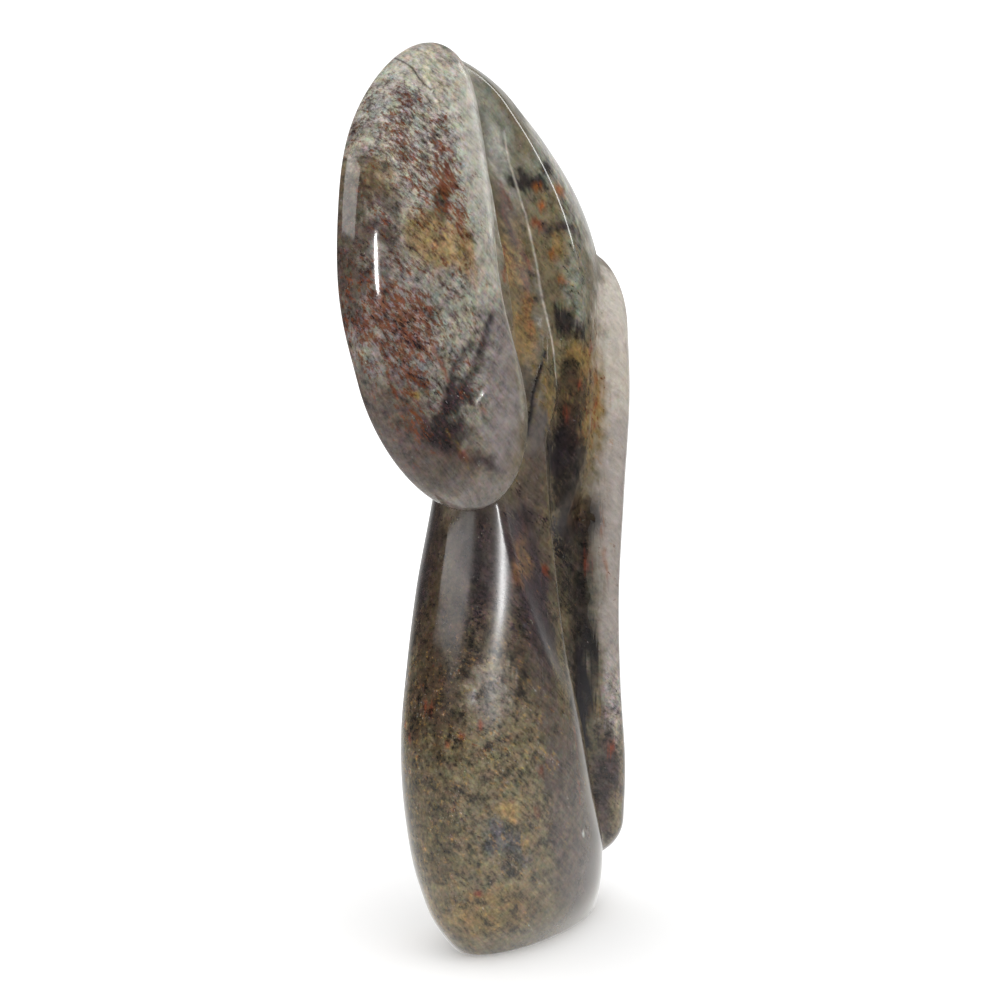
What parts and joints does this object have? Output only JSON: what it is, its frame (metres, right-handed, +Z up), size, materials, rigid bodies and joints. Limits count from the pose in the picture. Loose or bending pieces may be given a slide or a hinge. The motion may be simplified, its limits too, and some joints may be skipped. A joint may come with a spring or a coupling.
{
  "type": "stone elephant sculpture",
  "caption": "Elephant's head carved in polished stone: a long oval ear, a ridged face with ground hollows, a trunk that hangs down in front and a neck that swells to a flat foot.",
  "frame": {"origin": "on the flat underside, below the neck, in the middle plane between the ears", "axes": "+X the way the elephant faces, +Z up, -Y the side of the larger ear"},
  "size_m": [0.1253, 0.0428, 0.2539],
  "materials": {
    "polished_stone": "polished"
  },
  "bodies": {
    "root": {"carved_stone": "polished_stone"}
  },
  "joints": []
}
